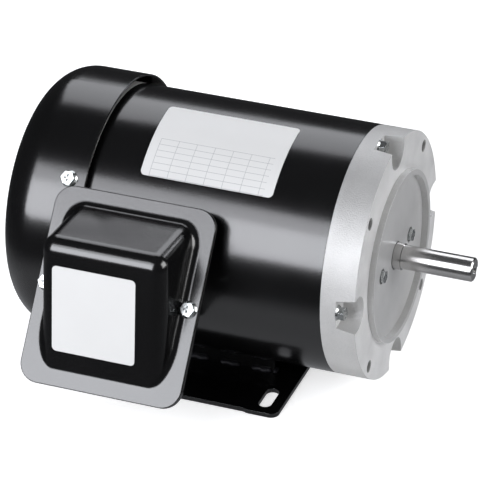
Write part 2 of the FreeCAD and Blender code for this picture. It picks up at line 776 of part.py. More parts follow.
def make_shaft():
    """Turned shaft with its keyway, centre drilling and clip groove."""
    bearing_back = f"-{DRIVE_BEARING_BACK}"
    rear_back = f"-{REAR_BEARING_BACK}"
    turning = turned("shaft_blank", [
        ("-shaft_tail", "0"),
        ("-shaft_tail", "fan_seat_radius"),
        (rear_back, "fan_seat_radius"),
        (rear_back, "rear_bearing_bore"),
        ("-rear_bearing_front", "rear_bearing_bore"),
        ("-rear_bearing_front", "rear_shaft_radius"),
        (f"-{CORE_BACK}", "rear_shaft_radius"),
        (f"-{CORE_BACK}", "rotor_seat_radius"),
        (bearing_back, "rotor_seat_radius"),
        (bearing_back, "drive_bearing_bore"),
        ("-drive_bearing_front", "drive_bearing_bore"),
        ("-drive_bearing_front", "collar_radius"),
        ("collar_reach", "collar_radius"),
        ("collar_reach", "shaft_radius"),
        ("shaft_reach - shaft_chamfer", "shaft_radius"),
        ("shaft_reach", "shaft_radius - shaft_chamfer"),
        ("shaft_reach", "0"),
    ])
    keyway = radial_block("keyway", ("shaft_reach - keyway_length", "shaft_reach + 1"),
                          "keyway_width / 2", "keyway_floor", "shaft_radius + 1",
                          SIZES["keyway_angle"])
    drilling = cone("centre_drilling", "0", "centre_drill_radius",
                    "shaft_reach - centre_drill_depth", "shaft_reach + 0.01")
    groove = tube("clip_groove", "fan_seat_radius + 1", "fan_seat_radius - fan_clip_groove",
                  f"{clip_back()}", f"{clip_back()} + fan_clip_width")
    piece(cut("shaft", turning, [keyway, drilling, groove]), "shaft")


def clip_back():
    """The x of the rear side of the fan clip."""
    return "(-fan_front - fan_length - fan_clip_width)"


def make_stator():
    """Laminated stator core with its slots and bolt notches, and the windings."""
    core = doc.addObject("PartDesign::Body", "stator_core")
    rings = new_sketch(core, "stator_rings", "YZ_Plane")
    circle(rings, SHELL_INNER)
    circle(rings, STATOR_BORE)
    add_pad(core, "stator_stack", rings, "core_length")
    slot = new_sketch(core, "stator_slot", "YZ_Plane")
    outline(slot, [(f"{STATOR_BORE} - 1", "-slot_half_width"),
                   ("slot_outer_radius", "-slot_half_width"),
                   ("slot_outer_radius", "slot_half_width"),
                   (f"{STATOR_BORE} - 1", "slot_half_width")])
    add_polar(core, "stator_slots", add_pocket(core, "stator_slot_cut", slot, "core_length"),
              COUNTS["stator_slots"])
    notch = new_sketch(core, "bolt_notch", "YZ_Plane")
    depth = "(through_bolt_circle - bolt_notch_half)"
    outline(notch, [(depth, "-bolt_notch_half"), ("shell_radius", "-bolt_notch_half"),
                    ("shell_radius", "bolt_notch_half"), (depth, "bolt_notch_half")])
    add_polar(core, "bolt_notches", add_pocket(core, "bolt_notch_cut", notch, "core_length"),
              COUNTS["through"])
    bind(core, at(f"-{CORE_BACK}"))
    piece(core, "stator_core")

    coils = doc.addObject("PartDesign::Body", "stator_windings")
    side = new_sketch(coils, "slot_filling", "YZ_Plane")
    half = "(slot_half_width - liner_gap)"
    top = "(slot_outer_radius - liner_gap)"
    outline(side, [("winding_inner_radius", f"-{half}"), (top, f"-{half}"),
                   (top, half), ("winding_inner_radius", half)])
    filling = add_pad(coils, "slot_coil", side, "core_length + 2")
    add_polar(coils, "slot_coils", filling, COUNTS["stator_slots"])
    for name, low, high in (("rear", "1 - end_turn_length", "1"),
                            ("front", "core_length + 1", "core_length + 1 + end_turn_length")):
        inside = "winding_inner_radius"
        outside = "winding_outer_radius"
        add_turned(coils, f"{name}_end_turns", [
            (f"{low} + end_turn_rounding", inside), (f"{high} - end_turn_rounding", inside),
            (high, f"{inside} + end_turn_rounding"), (high, f"{outside} - end_turn_rounding"),
            (f"{high} - end_turn_rounding", outside), (f"{low} + end_turn_rounding", outside),
            (low, f"{outside} - end_turn_rounding"), (low, f"{inside} + end_turn_rounding")])
    bind(coils, at(f"-{CORE_BACK} - 1"))
    piece(coils, "stator_windings")


def make_rotor():
    """Laminated rotor core and the cast cage with its end rings and fins."""
    core = doc.addObject("PartDesign::Body", "rotor_core")
    rings = new_sketch(core, "rotor_rings", "YZ_Plane")
    circle(rings, "rotor_radius")
    circle(rings, "rotor_seat_radius")
    add_pad(core, "rotor_stack", rings, "core_length")
    hole = new_sketch(core, "bar_hole", "YZ_Plane")
    circle(hole, "bar_radius", "bar_circle")
    add_polar(core, "bar_holes", add_pocket(core, "bar_hole_cut", hole, "core_length"),
              COUNTS["bars"])
    bind(core, at(f"-{CORE_BACK}"))
    piece(core, "rotor_core")

    cage = doc.addObject("PartDesign::Body", "cage_bars_and_rings")
    outer = "(bar_circle + bar_radius + end_ring_margin)"
    bar = new_sketch(cage, "cage_bar", "YZ_Plane")
    circle(bar, "bar_radius", "bar_circle")
    add_polar(cage, "cage_bars", add_pad(cage, "cage_bar_pad", bar, "core_length"), COUNTS["bars"])
    fin_inner = "(end_ring_inner_radius + 3)"
    for name, low, high in (("rear", "-end_ring_length", "0"),
                            ("front", "core_length", "core_length + end_ring_length")):
        add_turned(cage, f"{name}_end_ring", [(low, "end_ring_inner_radius"),
                                              (high, "end_ring_inner_radius"),
                                              (high, outer), (low, outer)])
    bind(cage, at(f"-{CORE_BACK}"))
    fins = []
    for name, low in (("rear", f"-{CORE_BACK} - end_ring_length - fin_length"),
                      ("front", "-core_front + end_ring_length")):
        fins += [radial_block(f"{name}_fin_{index}", (low, f"{low} + fin_length"),
                              "fin_half_width", fin_inner, f"{outer} - 1", angle)
                 for index, angle in enumerate(turns(COUNTS["fins"]))]
    piece(fuse("rotor_cage", [cage] + fins), "rotor_cage")


def make_fan():
    """External cooling fan on the tail of the shaft, and the clip that holds it."""
    rear = "(-fan_front - fan_length)"
    hub = tube("fan_hub", "fan_hub_radius", "fan_seat_radius", rear, "-fan_front")
    disc = tube("fan_back_disc", "fan_radius", "fan_seat_radius", "-fan_front - fan_disc",
                "-fan_front")
    blades = [radial_block(f"fan_blade_{index}", (rear, "-fan_front"), "fan_blade_half",
                           "fan_hub_radius - 1", "fan_radius - 0.5", angle)
              for index, angle in enumerate(turns(COUNTS["blades"], 10))]
    piece(fuse("cooling_fan", [hub, disc] + blades), "cooling_fan")
    ring = tube("fan_clip_ring", "fan_clip_radius", "fan_seat_radius - fan_clip_groove",
                clip_back(), f"{clip_back()} + fan_clip_width")
    gap = block("fan_clip_gap", (f"{clip_back()} - 1", "-fan_front"), ("-2", "2"),
                ("0", "fan_clip_radius + 1"))
    piece(cut("fan_clip", ring, [gap]), "fan_clip")


def make_fan_cover():
    """Drawn sheet cover with a round rear edge, a ring grille and screw holes."""
    inner = "(cover_radius - cover_wall)"
    cup = turned("fan_cover_cup", [
        ("-cover_rear", "0"), ("-cover_rear", "cover_radius"), ("-cover_front", "cover_radius"),
        ("-cover_front", inner), ("-cover_rear + cover_wall", inner),
        ("-cover_rear + cover_wall", "0")])

    def on_circle(station, radius):
        x, r = number(station), number(radius)
        return lambda edge: (hasattr(edge.Curve, "Radius") and abs(edge.Curve.Radius - r) < 0.01
                             and abs(edge.CenterOfMass.x - x) < 0.01)

    round_edges(cup, "cover_outer_rounding", "cover_rounding",
                on_circle("-cover_rear", "cover_radius"))
    round_edges(cup, "cover_inner_rounding", "cover_rounding - cover_wall",
                on_circle("-cover_rear + cover_wall", inner))
    through = ("-cover_rear - 1", "-cover_rear + cover_wall + 1")
    rings = []
    for index in range(COUNTS["grille_rings"]):
        start = f"(grille_first + {index} * grille_pitch)"
        rings.append(tube(f"grille_ring_{index}", f"{start} + grille_slot", start, *through))
    reach = f"(grille_first + {COUNTS['grille_rings']} * grille_pitch)"
    spokes = []
    for index, angle in enumerate(turns(2 * COUNTS["spokes"], 22.5)):
        spokes.append(radial_block(f"grille_spoke_{index}", ("-cover_rear - 2",
                                   "-cover_rear + cover_wall + 2"), "grille_spoke_half",
                                   "1", reach, angle))
    slots = cut("grille_slots", group("grille_rings", rings), spokes)
    holes = [radial_rod(f"cover_screw_hole_{index}", "fan_cover_screw_radius + 2 * screw_hole_gap",
                        f"{inner} - 3", "cover_radius + 1", "-fan_cover_screw_station", angle)
             for index, angle in enumerate(turns(COUNTS["lug"], SIZES["lug_angle"]))]
    drilled = cut("fan_cover_drilled", cup, holes)
    piece(cut("fan_cover", drilled, [slots]), "fan_cover")


def make_base():
    """Base plate with its four foot slots, and the two rails that carry the shell."""
    low = "-axis_height"
    high = "-axis_height + base_thickness"
    wide = "(base_half_width + foot_pad_step)"
    middle = rounded_plate("base_middle", "base_rear - base_front", "2 * base_half_width",
                           "0", "base_thickness", "1")
    bind(middle, at("-(base_rear + base_front) / 2", "0", low))
    pads = []
    for name, place in (("front", "-base_front - foot_pad_length / 2"),
                        ("rear", "-base_rear + foot_pad_length / 2")):
        pad = rounded_plate(f"{name}_foot_pad", "foot_pad_length", f"2 * {wide}",
                            "0", "base_thickness", "base_corner")
        pads.append(bind(pad, at(place, "0", low)))
    corners = [block(f"base_corner_cut_{index}", xs, ys, (f"{low} - 1", f"{high} + 1"))
               for index, (xs, ys) in enumerate(base_corner_blocks(wide))]
    plate = fuse("base_plate_blank", [cut("base_middle_trimmed", middle, corners)] + pads)
    slots = []
    half = "((foot_slot_length - foot_slot_width) / 2)"
    for row, x in enumerate(("-foot_front", "-foot_front - foot_spacing")):
        for side in (-1, 1):
            name = f"foot_slot_{row}_{'left' if side > 0 else 'right'}"
            y = f"{side} * feet_across / 2"
            reach = (f"{low} - 1", f"{high} + 1")
            slots.append(block(name, (f"{x} - foot_slot_width / 2", f"{x} + foot_slot_width / 2"),
                               (f"{y} - {half}", f"{y} + {half}"), reach))
            for end in (-1, 1):
                bore = doc.addObject("Part::Cylinder", f"{name}_end_{'inner' if end < 0 else 'outer'}")
                slots.append(bind(bore, {"Radius": "foot_slot_width / 2",
                                         "Height": "base_thickness + 2",
                                         **at(x, f"{y} + {end} * {half}", reach[0])}))
    piece(cut("base_plate", plate, slots), "base_plate")
    for label, side in (("left_base_rail", 1), ("right_base_rail", -1)):
        edges = sorted((f"{side} * rail_offset - rail_thickness / 2",
                        f"{side} * rail_offset + rail_thickness / 2"), key=number)
        blank = block(f"{label}_blank", ("-rail_rear", "-rail_front"), edges, (high, "-rail_offset"))
        bed = rod(f"{label}_bed", "shell_radius", "-rail_rear - 1", "-rail_front + 1")
        piece(cut(label, blank, [bed]), label)


def base_corner_blocks(wide):
    """Where the middle of the plate gives way to the rounded foot pads at its four corners."""
    spans = (("-base_front - base_corner", "-base_front + 1"),
             ("-base_rear - 1", "-base_rear + base_corner"))
    sides = ((f"{wide} - base_corner", f"{wide} + 1"), (f"-{wide} - 1", f"-{wide} + base_corner"))
    return [(xs, ys) for xs in spans for ys in sides]


def wedge(name, corners, width, rounding):
    """Half of the terminal box: a prism on a three-cornered section, its outer edges round."""
    body = doc.addObject("PartDesign::Body", name)
    section = new_sketch(body, name + "_section", "YZ_Plane")
    outline(section, corners)
    pad = add_pad(body, name + "_pad", section, width)
    apex = [number(text) for text in corners[1]]

    def meets_apex(edge):
        return any(abs(corner.Y - apex[0]) < 0.01 and abs(corner.Z - apex[1]) < 0.01
                   for corner in edge.Vertexes)

    body.Tip = pad
    round_edges(body, name + "_rounding", rounding, meets_apex)
    return bind(body, at(f"-box_centre - ({width}) / 2"))


def tilted(item):
    """Lays a plate on the box's diagonal, on the line between the roots of the two halves."""
    item.Placement = FreeCAD.Placement(V(), FreeCAD.Rotation(ABOUT_X, number(BOX_TILT)))
    return bind(item, {"Placement.Rotation.Angle": BOX_TILT,
                       **at("-box_centre", BOX_MIDDLE_Y, BOX_MIDDLE_Z)})


def on_diagonal(across, out):
    """A point on the diagonal flange: sideways from the box's centre and out from its face."""
    return (f"-box_centre + ({across})", f"{BOX_MIDDLE_Y} - ({out}) * sin({BOX_TILT})",
            f"{BOX_MIDDLE_Z} + ({out}) * cos({BOX_TILT})")


def flange_screw_holes(name, radius):
    """Holes in the middle of the two side flanges, square to the diagonal."""
    holes = []
    for side in (-1, 1):
        hole = doc.addObject("Part::Cylinder", f"{name}_{'rear' if side < 0 else 'front'}")
        hole.Placement = FreeCAD.Placement(V(), FreeCAD.Rotation(ABOUT_X, number(BOX_TILT)))
        x, y, z = on_diagonal(FLANGE_SCREW_REACH.format(side=side), "-3 * box_wall - box_gasket")
        holes.append(bind(hole, {"Radius": radius, "Height": "4 * box_wall + box_gasket",
                                 "Placement.Rotation.Angle": BOX_TILT, **at(x, y, z)}))
    return holes


def round_foot(name, item, flange):
    """Rounds the line where the raised cover meets its flange, and the flange's outer edge."""
    doc.recompute()
    on_flange = flange.Placement.inverse()
    half_width = number("box_cover_width") / 2 + 0.01
    half_length = number(BOX_DIAGONAL) / 2 + 0.01
    fillet = doc.addObject("Part::Fillet", name)
    fillet.Base = item
    chosen = []
    for index, edge in enumerate(item.Shape.Edges, start=1):
        places = [on_flange.multVec(edge.valueAt(edge.getParameterByLength(edge.Length * share)))
                  for share in (0, 0.5, 1)]
        if any(abs(place.z) > 0.01 for place in places):
            continue
        foot = all(abs(place.x) < half_width and abs(place.y) < half_length for place in places)
        radius = SIZES["box_cover_foot" if foot else "box_flange_edge"]
        chosen.append((index, radius, radius))
    fillet.Edges = chosen
    return fillet


def make_terminal_box():
    """The two halves of the box, the gasket between them and their screws."""
    top_root = ("-box_back", "box_height - box_floor")
    foot_root = ("-box_back - box_depth", "-box_floor")
    front_top = ("-box_back - box_cover_depth", COVER_TOP)
    back_foot = ("-box_back", "-box_floor")

    cover_wedge = wedge("cover_wedge", [top_root, front_top, foot_root], "box_cover_width",
                        "box_cover_rounding")
    flange = tilted(rounded_plate("cover_flange", FLANGE_WIDTH, FLANGE_LENGTH, GASKET_FACE, "0",
                                  "box_flange_corner"))
    hollow = wedge("cover_hollow", [top_root, front_top, foot_root],
                   "box_cover_width - 2 * box_wall", "box_cover_rounding - box_wall")
    bind(hollow, {"Placement.Base.y": f"box_wall * (1 - sin({COVER_LEAN})) / cos({COVER_LEAN})",
                  "Placement.Base.z": "-box_wall"})
    solid = round_foot("cover_solid", fuse("cover_sharp", [cover_wedge, flange]), flange)
    seats = [bind(seat, {"Height": "box_cover_foot + 3 * box_wall + box_gasket"})
             for seat in flange_screw_holes("cover_seat", "box_cover_screw_washer + screw_hole_gap")]
    for seat, side in zip(seats, (-1, 1)):
        bind(seat, at(*on_diagonal(FLANGE_SCREW_REACH.format(side=side), "0")))
    holes = flange_screw_holes("cover_hole", "box_cover_screw_radius + screw_hole_gap")
    piece(cut("terminal_box_cover", solid, [hollow] + seats + holes), "terminal_box_cover")

    base_wedge = wedge("base_wedge", [top_root, back_foot, foot_root], "box_base_width",
                       "box_base_rounding")
    base_low = f"({BASE_FLANGE_FACE} - box_wall)"
    base_flange = tilted(rounded_plate("base_flange", FLANGE_WIDTH, FLANGE_LENGTH, base_low,
                                       BASE_FLANGE_FACE, "box_flange_corner"))
    base_hollow = wedge("base_hollow", [top_root, back_foot, foot_root],
                        "box_base_width - 2 * box_wall", "box_base_rounding - box_wall")
    bind(base_hollow, {"Placement.Base.y": "-box_wall", "Placement.Base.z": "box_wall"})
    above = tilted(rounded_plate("above_base_flange", f"2 * {FLANGE_WIDTH}",
                                 f"2 * {FLANGE_LENGTH}", BASE_FLANGE_FACE, "box_height",
                                 "box_flange_corner"))
    entry = doc.addObject("Part::Cylinder", "conduit_hole")
    bind(entry, {"Radius": "conduit_hole_radius", "Height": "box_wall + 2",
                 **at("-box_centre", "-box_back - conduit_hole_out", "-box_floor - 1")})
    screws = [y_rod(f"box_screw_hole_{index}", "box_screw_radius + screw_hole_gap", x,
                    "-box_back + 1", "box_wall + 2", z)
              for index, (x, z) in enumerate(box_screw_spots())]
    base_solid = cut("base_trimmed", fuse("base_solid", [base_wedge, base_flange]), [above])
    holes = flange_screw_holes("base_hole", "box_cover_screw_radius")
    piece(cut("terminal_box_base", base_solid,
              [base_hollow, entry, lead_hole("box_lead_hole")] + screws + holes),
          "terminal_box_base")

    sheet_blank = tilted(rounded_plate("gasket_blank", FLANGE_WIDTH, FLANGE_LENGTH,
                                       BASE_FLANGE_FACE, GASKET_FACE, "box_flange_corner"))
    window = tilted(rounded_plate("gasket_window", "box_cover_width - 2 * box_wall",
                                  f"{BOX_DIAGONAL} - 6", "-10", "10", "box_base_rounding"))
    holes = flange_screw_holes("gasket_hole", "box_cover_screw_radius + screw_hole_gap")
    piece(cut("terminal_box_gasket", sheet_blank, [window] + holes), "terminal_box_gasket")

    tilt = FreeCAD.Rotation(ABOUT_X, number(BOX_TILT))
    fasteners = []
    for side in (-1, 1):
        x, y, z = on_diagonal(FLANGE_SCREW_REACH.format(side=side), "0")
        item = screw(f"cover_screw_{'rear' if side < 0 else 'front'}", "box_cover_screw",
                     "box_cover_screw_length", x, y, z, tilt, crossed=True)
        fasteners.append(bind(item, {"Placement.Rotation.Angle": BOX_TILT}))
    piece(group("terminal_cover_screws", fasteners), "terminal_cover_screws")


def y_rod(name, radius, x, start, length, z):
    """A cylinder that runs from y = start towards -Y."""
    item = doc.addObject("Part::Cylinder", name)
    item.Placement = FreeCAD.Placement(V(), FreeCAD.Rotation(ABOUT_X, 90))
    return bind(item, {"Radius": radius, "Height": length, **at(x, start, z)})


def box_screw_spots():
    """The two mounting screws of the box, side by side above its terminal board."""
    return [("-box_centre + box_screw_across / 2", "lead_hole_height - 6"),
            ("-box_centre - box_screw_across / 2", "lead_hole_height - 6")]


def make_box_inside():
    """Saddle that carries the box, its screws, and the leads, board and studs inside."""
    blank = block("saddle_blank", ("-box_centre - saddle_half_length",
                                   "-box_centre + saddle_half_length"),
                  ("-box_back", "-box_back + 25"), ("-saddle_half_height", "saddle_half_height"))
    bed = rod("saddle_bed", "shell_radius", "-shell_rear", "-shell_front")
    holes = [y_rod(f"saddle_screw_hole_{index}", "box_screw_radius", x, "-box_back + 25",
                   "26", z) for index, (x, z) in enumerate(box_screw_spots())]
    piece(cut("box_saddle", blank, [bed, lead_hole("saddle_lead_hole")] + holes), "box_saddle")

    towards_box = FreeCAD.Rotation(ABOUT_X, 90)
    screws = [screw(f"box_mounting_screw_{index}", "box_screw", "box_screw_length", x,
                    "-box_back - box_wall", z, towards_box)
              for index, (x, z) in enumerate(box_screw_spots())]
    piece(group("box_mounting_screws", screws), "box_mounting_screws")

    place = ("-lead_hole_behind", "lead_hole_height")
    sleeve = y_rod("grommet_sleeve", "lead_hole_radius", place[0], "-box_back + 3",
                   "box_wall + 3 + grommet_lip", place[1])
    lip = y_rod("grommet_lip_ring", "lead_hole_radius + grommet_lip", place[0],
                "-box_back - box_wall", "grommet_lip", place[1])
    bore = y_rod("grommet_bore", "lead_bundle_radius", place[0], "-box_back + 5", "20", place[1])
    piece(cut("lead_grommet", fuse("grommet_blank", [sleeve, lip]), [bore]), "lead_grommet")
    piece(y_rod("lead_bundle", "lead_bundle_radius", place[0], "-lead_bundle_inner",
                "lead_bundle_outer - lead_bundle_inner", place[1]), "lead_bundle")

    face = "-box_back - box_wall"
    board = block("board_blank", ("-box_centre - board_length / 2",
                                  "-box_centre + board_length / 2"),
                  (f"{face} - board_thickness", face),
                  ("board_centre_height - board_height / 2",
                   "board_centre_height + board_height / 2"))
    spots = [(f"-box_centre + {step} * stud_pitch", "board_centre_height")
             for step in (-1, 0, 1)]
    stud_holes = [y_rod(f"stud_hole_{index}", "stud_radius", x, f"{face} + 1",
                        "board_thickness + 2", z) for index, (x, z) in enumerate(spots)]
    piece(cut("terminal_board", board, stud_holes), "terminal_board")
    studs = [y_rod(f"stud_{index}", "stud_radius", x, face, "board_thickness + stud_reach", z)
             for index, (x, z) in enumerate(spots)]
    piece(group("terminal_studs", studs), "terminal_studs")
    nuts = []
    for index, (x, z) in enumerate(spots):
        nut = doc.addObject("Part::Prism", f"nut_blank_{index}")
        nut.Polygon = 6
        nut.Placement = FreeCAD.Placement(V(), towards_box)
        bind(nut, {"Circumradius": "nut_flats / 2 / cos(30)", "Height": "nut_thickness",
                   **at(x, f"{face} - board_thickness", z)})
        nuts.append(cut(f"terminal_nut_{index}", nut,
                        [y_rod(f"nut_bore_{index}", "stud_radius", x, face,
                               "board_thickness + 10", z)]))
    piece(group("terminal_nuts", nuts), "terminal_nuts")


def make_fasteners():
    """Through bolts, bearing retainer screws and fan cover screws."""
    bolts = [screw(f"through_bolt_{index}", "through_bolt", "through_bolt_end - pocket_depth",
                   "-pocket_depth", *spot(angle, "through_bolt_circle"),
                   ALONG_X)
             for index, angle in enumerate(turns(COUNTS["through"]))]
    piece(group("through_bolts", bolts), "through_bolts")
    length = f"{DRIVE_BEARING_BACK} + retainer_thickness - retainer_screw_sink"
    screws = [screw(f"retainer_screw_{index}", "retainer_screw", f"({length})",
                    "-retainer_screw_sink", *spot(angle, "retainer_screw_circle"), ALONG_X)
              for index, angle in enumerate(turns(2))]
    piece(group("retainer_screws", screws), "retainer_screws")
    screws = [screw(f"fan_cover_screw_{index}", "fan_cover_screw", "fan_cover_screw_length",
                    "-fan_cover_screw_station", *spot(angle, "cover_radius"),
                    radial_rotation(angle), crossed=True)
              for index, angle in enumerate(turns(COUNTS["lug"], SIZES["lug_angle"]))]
    piece(group("fan_cover_screws", screws), "fan_cover_screws")


def make_labels():
    """Two blank labels: a curved one on the shell and a flat one on the box cover."""
    skin = tube("nameplate_skin", LABEL_RADIUS, "shell_radius", "-nameplate_rear",
                "-nameplate_front")
    patch = rounded_plate("nameplate_patch", "nameplate_rear - nameplate_front",
                          "nameplate_across", "shell_radius / 2", "shell_radius + 5",
                          "label_corner")
    patch.Placement = FreeCAD.Placement(V(), radial_rotation(SIZES["nameplate_angle"]))
    bind(patch, at("-(nameplate_rear + nameplate_front) / 2"))
    piece(common("nameplate", skin, patch), "nameplate")
    sticker = rounded_plate("cover_label", "cover_label_width", "cover_label_height", "0",
                            "label_thickness", "label_corner")
    stand = f"(90 deg - {COVER_LEAN})"
    sticker.Placement = FreeCAD.Placement(V(), FreeCAD.Rotation(ABOUT_X, number(stand)))
    bind(sticker, {"Placement.Rotation.Angle": stand,
                   **at("-box_centre - cover_label_offset",
                        f"-box_back - box_cover_depth - cover_label_drop * sin({COVER_LEAN})",
                        f"{COVER_TOP} - cover_label_drop * cos({COVER_LEAN})")})
    piece(sticker, "cover_label")


# ---------------------------------------------------------------- build, check and export

def check_and_export():
    """Stops on a failed object or shape, then writes each sub-part to its own file."""
    doc.recompute()
    for item in doc.Objects:
        if "Invalid" in item.State or "Error" in item.State:
            raise RuntimeError(f"{item.Name} failed: {item.State}")
    for item in pieces:
        if item.Shape.isNull() or not item.Shape.isValid() or not item.Shape.Solids:
            raise RuntimeError(f"{item.Label} has no valid solid")
    os.makedirs("parts", exist_ok=True)
    for item in pieces:
        item.Shape.exportStep(f"parts/{item.Label}.step")
    print(f"{len(pieces)} sub-parts written")


make_shell()
make_drive_shield()
make_rear_shield()
make_bearing("drive")
make_bearing("rear")
make_bearing_trim()
make_shaft()
make_stator()
make_rotor()
make_fan()
make_fan_cover()
make_base()
make_terminal_box()
make_box_inside()
make_fasteners()
make_labels()
check_and_export()
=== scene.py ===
"""Looks of the electric motor: camera, studio and procedural materials round the CAD frame."""
import json
import math

import bmesh
import bpy
from mathutils import Matrix, Vector


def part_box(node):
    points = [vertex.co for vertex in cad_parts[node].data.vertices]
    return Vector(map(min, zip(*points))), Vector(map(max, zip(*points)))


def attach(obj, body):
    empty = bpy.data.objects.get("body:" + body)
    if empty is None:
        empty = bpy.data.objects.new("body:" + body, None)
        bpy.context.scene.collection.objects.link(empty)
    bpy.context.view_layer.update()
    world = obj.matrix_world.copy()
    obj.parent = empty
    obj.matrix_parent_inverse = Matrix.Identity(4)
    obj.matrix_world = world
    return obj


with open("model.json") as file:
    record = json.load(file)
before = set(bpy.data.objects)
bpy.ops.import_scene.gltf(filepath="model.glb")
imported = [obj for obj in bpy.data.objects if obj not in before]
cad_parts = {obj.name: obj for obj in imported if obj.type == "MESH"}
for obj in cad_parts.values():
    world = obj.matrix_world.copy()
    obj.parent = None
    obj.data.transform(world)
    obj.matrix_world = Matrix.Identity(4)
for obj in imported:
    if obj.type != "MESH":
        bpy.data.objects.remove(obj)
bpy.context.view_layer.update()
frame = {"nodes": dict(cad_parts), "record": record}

NODES = frame["nodes"]

# ---------------------------------------------------------------- camera and studio

CAMERA_AZIMUTH = 21.48
CAMERA_ELEVATION = 31.08
CAMERA_ROLL = -0.8
CAMERA_DISTANCE = 2.0929
CAMERA_TARGET = Vector((-0.1015, -0.0163, -0.0001))
CAMERA_LENS = 242.2
CAMERA_SENSOR = 36.0
CAMERA_REACH = 50.0

FLOOR_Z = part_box("base_plate")[0].z
FLOOR_SIZE = 14.0
FLOOR_GAP = 0.0002
PAPER_COLOUR = (0.85, 0.85, 0.85, 1)
PAPER_ROUGHNESS = 0.95
PAPER_GLOW = 0.62


def direction(azimuth, elevation):
    """A unit vector: azimuth 0 is -Y, growing towards +X."""
    a, e = math.radians(azimuth), math.radians(elevation)
    return Vector((math.sin(a) * math.cos(e), -math.cos(a) * math.cos(e), math.sin(e)))


def add_object(name, data):
    """A new object in the scene."""
    item = bpy.data.objects.new(name, data)
    bpy.context.scene.collection.objects.link(item)
    return item


def make_camera():
    """A long lens that looks down at the box and the shaft end."""
    camera = bpy.data.cameras.new("camera")
    camera.lens = CAMERA_LENS
    camera.sensor_width = CAMERA_SENSOR
    camera.clip_end = CAMERA_REACH
    item = add_object("camera", camera)
    back = direction(CAMERA_AZIMUTH, CAMERA_ELEVATION)
    level = math.radians(CAMERA_AZIMUTH)
    right = Vector((math.cos(level), math.sin(level), 0))
    up = back.cross(right)
    roll = math.radians(CAMERA_ROLL)
    turned_right = right * math.cos(roll) + up * math.sin(roll)
    turned_up = up * math.cos(roll) - right * math.sin(roll)
    turn = Matrix((turned_right, turned_up, back)).transposed().to_4x4()
    item.matrix_world = Matrix.Translation(CAMERA_TARGET + back * CAMERA_DISTANCE) @ turn
    bpy.context.scene.camera = item


def softbox(name, azimuth, elevation, distance, width, height, radiance, tint):
    """A rectangular light that faces the object, as bright as its radiance says."""
    light = bpy.data.lights.new(name, "AREA")
    light.shape = "RECTANGLE"
    light.size = width
    light.size_y = height
    light.energy = radiance * math.pi * width * height
    light.color = tint
    item = add_object(name, light)
    towards = direction(azimuth, elevation)
    item.location = CAMERA_TARGET + towards * distance
    item.rotation_euler = towards.to_track_quat("Z", "Y").to_euler()


# Radiance of the room by the sine of elevation: a glow from well below, dark from there up.
ROOM_GLOW = [(-1.0, 0.32), (-0.66, 0.46), (-0.56, 0.30), (-0.44, 0.07), (-0.2, 0.04),
             (0.3, 0.05), (0.9, 0.06), (1.0, 0.1)]
ROOM_TINT = (0.98, 1.0, 1.05)
# How the room's strength falls towards +Y.
ROOM_FADE = {"From Min": -0.2, "From Max": 0.5, "To Min": 1.0, "To Max": 0.8}

# Softboxes: name, azimuth, elevation, distance, width, height, radiance and tint.
COOL = (0.965, 0.98, 1.03)
NEUTRAL = (1, 1, 1)
SOFTBOXES = [
    ("key_box", -22, 22, 1.4, 0.95, 0.74, 7.4, COOL),
    ("key_top", -22, 43, 1.4, 0.95, 0.28, 4.4, COOL),
    ("back_box", -162, 43, 1.6, 1.1, 0.95, 2.3, COOL),
    ("shaft_box", 96, 24, 1.8, 1.2, 1.0, 5.4, NEUTRAL),
    ("rear_box", 166, 17, 1.8, 0.55, 0.6, 5.0, COOL),
]


def make_room():
    """The world: a vertical gradient, a little weaker towards +Y."""
    world = bpy.data.worlds.new("room")
    world.use_nodes = True
    tree = world.node_tree
    background = tree.nodes["Background"]
    parts = tree.nodes.new("ShaderNodeSeparateXYZ")
    tree.links.new(tree.nodes.new("ShaderNodeTexCoord").outputs["Generated"],
                   parts.inputs["Vector"])
    share = tree.nodes.new("ShaderNodeMapRange")
    share.inputs["From Min"].default_value = -1.0
    tree.links.new(parts.outputs["Z"], share.inputs["Value"])
    ramp = tree.nodes.new("ShaderNodeValToRGB")
    stops = ramp.color_ramp.elements
    for sine, glow in ROOM_GLOW:
        place = (sine + 1) / 2
        stop = stops[0] if place == 0 else stops[-1] if place == 1 else stops.new(place)
        stop.color = (*(glow * tint for tint in ROOM_TINT), 1)
    tree.links.new(share.outputs["Result"], ramp.inputs["Fac"])
    tree.links.new(ramp.outputs["Color"], background.inputs["Color"])
    behind = tree.nodes.new("ShaderNodeMapRange")
    for socket, value in ROOM_FADE.items():
        behind.inputs[socket].default_value = value
    tree.links.new(parts.outputs["Y"], behind.inputs["Value"])
    tree.links.new(behind.outputs["Result"], background.inputs["Strength"])
    bpy.context.scene.world = world


def make_floor():
    """A white paper floor; glossy paint sees the room's glow instead of it."""
    mesh = bpy.data.meshes.new("floor")
    half = FLOOR_SIZE / 2
    corners = [(-half, -half), (half, -half), (half, half), (-half, half)]
    mesh.from_pydata([(x, y, FLOOR_Z - FLOOR_GAP) for x, y in corners], [], [(0, 1, 2, 3)])
    floor = add_object("floor", mesh)
    floor.visible_glossy = False
    material = bpy.data.materials.new("floor_paper")
    material.use_nodes = True
    shader = material.node_tree.nodes["Principled BSDF"]
    shader.inputs["Base Color"].default_value = PAPER_COLOUR
    shader.inputs["Roughness"].default_value = PAPER_ROUGHNESS
    shader.inputs["Emission Color"].default_value = (1, 1, 1, 1)
    shader.inputs["Emission Strength"].default_value = PAPER_GLOW
    mesh.materials.append(material)


def make_studio():
    """Room, floor and the softboxes whose reflections shape the paint."""
    make_room()
    make_floor()
    for box in SOFTBOXES:
        softbox(*box)
    bpy.context.scene.view_settings.view_transform = "Standard"
    bpy.context.scene.view_settings.look = "None"


# ---------------------------------------------------------------- material building blocks

